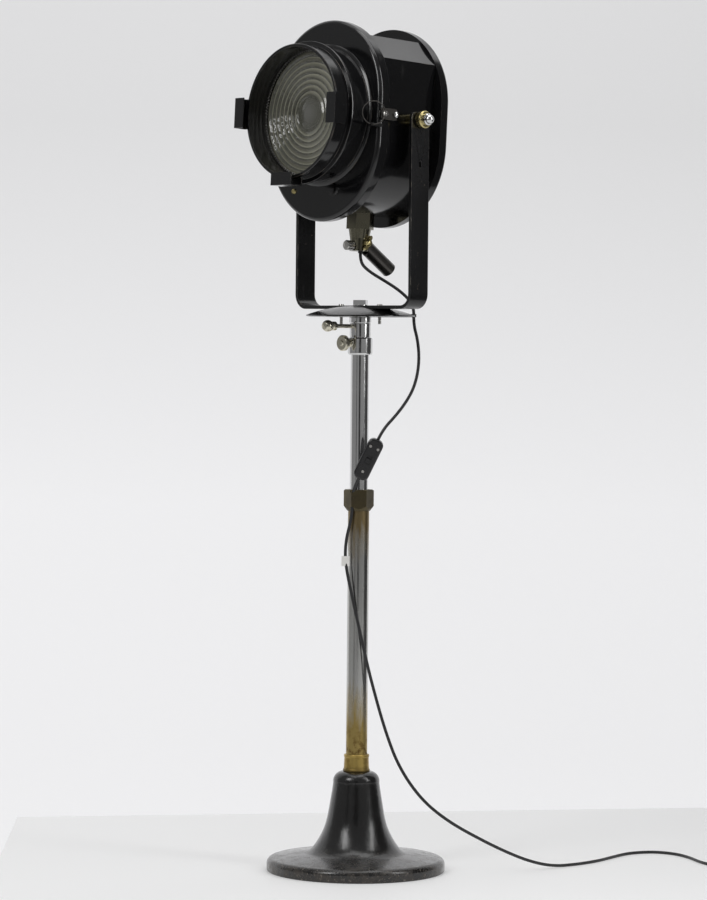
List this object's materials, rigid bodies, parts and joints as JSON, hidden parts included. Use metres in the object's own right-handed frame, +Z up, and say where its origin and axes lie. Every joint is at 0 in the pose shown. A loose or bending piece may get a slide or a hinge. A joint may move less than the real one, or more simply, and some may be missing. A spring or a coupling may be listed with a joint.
{
  "type": "stage spotlight floor lamp",
  "caption": "Stage spotlight with a ridged lens door and tilting yoke, on a telescopic tube stand with a heavy round base, with a cord and inline switch.",
  "frame": {"origin": "centre of the base's underside, on the stand's axis", "axes": "+Z up along the stand, the lamp faces -Y, +X is the side of the head with the door latch"},
  "size_m": [0.5894, 0.7696, 1.3546],
  "materials": {
    "black_enamel": "semi-gloss",
    "yoke_paint": "flat, chipped",
    "cast_black": "pitted, painted",
    "chrome": "worn polish",
    "bronze": "dark patina",
    "brass": "aged",
    "steel": "worn",
    "dark_steel": "dark worn",
    "cord": "matt",
    "black_plastic": "gloss",
    "white_card": "matt",
    "ceramic": "glazed",
    "lens_glass": "frosted green-grey",
    "bulb_glass": "clear",
    "reflector": "polished"
  },
  "bodies": {
    "base": {"cast_base": "cast_black", "ferrule": "brass", "lower_tube": "chrome", "clamp_nut": "bronze", "cord_tail": "cord", "cord_coil": "cord", "plug_body": "black_plastic", "plug_pins": "brass", "cord_tag": "white_card"},
    "mast": {"upper_tube": "chrome", "mast_collar": "chrome", "cord_drop": "cord", "switch_front": "black_plastic", "switch_back": "black_plastic", "switch_screws": "steel"},
    "switch_slider": {"switch_slider": "black_plastic"},
    "collar_screw": {"collar_screw": "chrome"},
    "yoke": {"swivel_sleeve": "chrome", "saucer": "cast_black", "yoke": "yoke_paint", "yoke_bolt": "chrome", "strap_screws": "steel", "cord_tie": "white_card", "cord_head": "cord"},
    "swivel_screw": {"swivel_screw": "chrome"},
    "housing": {"body_shell": "black_enamel", "front_frame": "black_enamel", "rear_cover": "black_enamel", "rear_screws": "steel", "focus_rails": "steel", "tilt_spacers": "brass", "tilt_bolts": "steel", "acorn_nuts": "chrome", "handle_socket": "dark_steel", "handle_tube": "dark_steel", "cord_grommet": "cord", "side_screw": "steel", "hinge_body_leaf": "black_enamel", "hinge_pin": "steel"},
    "wing_screw": {"wing_screw": "brass"},
    "tilt_knob_right": {"tilt_knob_right": "brass"},
    "tilt_knob_left": {"tilt_knob_left": "brass"},
    "door": {"door_bezel": "black_enamel", "lens_barrel": "black_enamel", "lens": "lens_glass", "lens_spring": "steel", "frame_clips": "black_enamel", "bezel_screw": "brass", "hinge_door_leaf": "black_enamel", "latch_lug": "black_enamel", "latch_ring": "steel", "latch_pivot": "steel"},
    "latch": {"latch_lever": "steel", "latch_tip": "chrome"},
    "focus_knob": {"focus_screw": "steel", "focus_knob": "black_plastic"},
    "carriage": {"lamp_tray": "steel", "lampholder": "ceramic", "bulb": "bulb_glass", "reflector": "reflector"}
  },
  "joints": [
    {"name": "mast_height", "type": "slide", "parent": "base", "child": "mast", "axis": [0, 0, 1], "range_m": [0, 0.25], "deforming": ["cord_tail"]},
    {"name": "pan", "type": "hinge", "parent": "mast", "child": "yoke", "pos_m": [0, 0, 0.88], "axis": [0, 0, 1], "range_deg": [-90, 90], "deforming": ["cord_drop"]},
    {"name": "tilt", "type": "hinge", "parent": "yoke", "child": "housing", "pos_m": [0, 0, 1.195], "axis": [-1, 0, 0], "range_deg": [-45, 45], "deforming": ["cord_head"]},
    {"name": "door", "type": "hinge", "parent": "housing", "child": "door", "pos_m": [-0.131, -0.06547, 1.19431], "axis": [0, -0.0506, -0.9987], "range_deg": [0, 100]},
    {"name": "latch", "type": "hinge", "parent": "door", "child": "latch", "pos_m": [0.127, -0.0758, 1.20084], "axis": [1, 0, 0], "range_deg": [0, 70]},
    {"name": "focus_turn", "type": "hinge", "parent": "housing", "child": "focus_knob", "pos_m": [0.062, -0.00562, 1.08414], "axis": [0, -0.9987, 0.0506], "range_deg": [-360, 540]},
    {"name": "focus_travel", "type": "slide", "parent": "housing", "child": "carriage", "axis": [0, -0.9987, 0.0506], "range_m": [-0.0239, 0.0358]},
    {"name": "tilt_knob_right_turn", "type": "hinge", "parent": "housing", "child": "tilt_knob_right", "pos_m": [0.141, 0, 1.195], "axis": [1, 0, 0], "range_deg": [-180, 0]},
    {"name": "tilt_knob_left_turn", "type": "hinge", "parent": "housing", "child": "tilt_knob_left", "pos_m": [-0.141, 0, 1.195], "axis": [-1, 0, 0], "range_deg": [-180, 0]},
    {"name": "collar_screw_turn", "type": "hinge", "parent": "mast", "child": "collar_screw", "pos_m": [0, -0.03, 0.843], "axis": [0, 1, 0], "range_deg": [-180, 90]},
    {"name": "swivel_screw_turn", "type": "hinge", "parent": "yoke", "child": "swivel_screw", "pos_m": [0, -0.03, 0.87], "axis": [0, 1, 0], "range_deg": [-180, 90]},
    {"name": "wing_screw_turn", "type": "hinge", "parent": "housing", "child": "wing_screw", "pos_m": [0, -0.00372, 1.00294], "axis": [1, 0, 0], "range_deg": [-180, 90]},
    {"name": "switch_slide", "type": "slide", "parent": "mast", "child": "switch_slider", "axis": [0.3583, 0.2561, 0.8978], "range_m": [0, 0.005]}
  ],
  "couplings": [
    {"joint": "focus_turn", "follows": "focus_travel", "rad_per_m": 261.8}
  ]
}
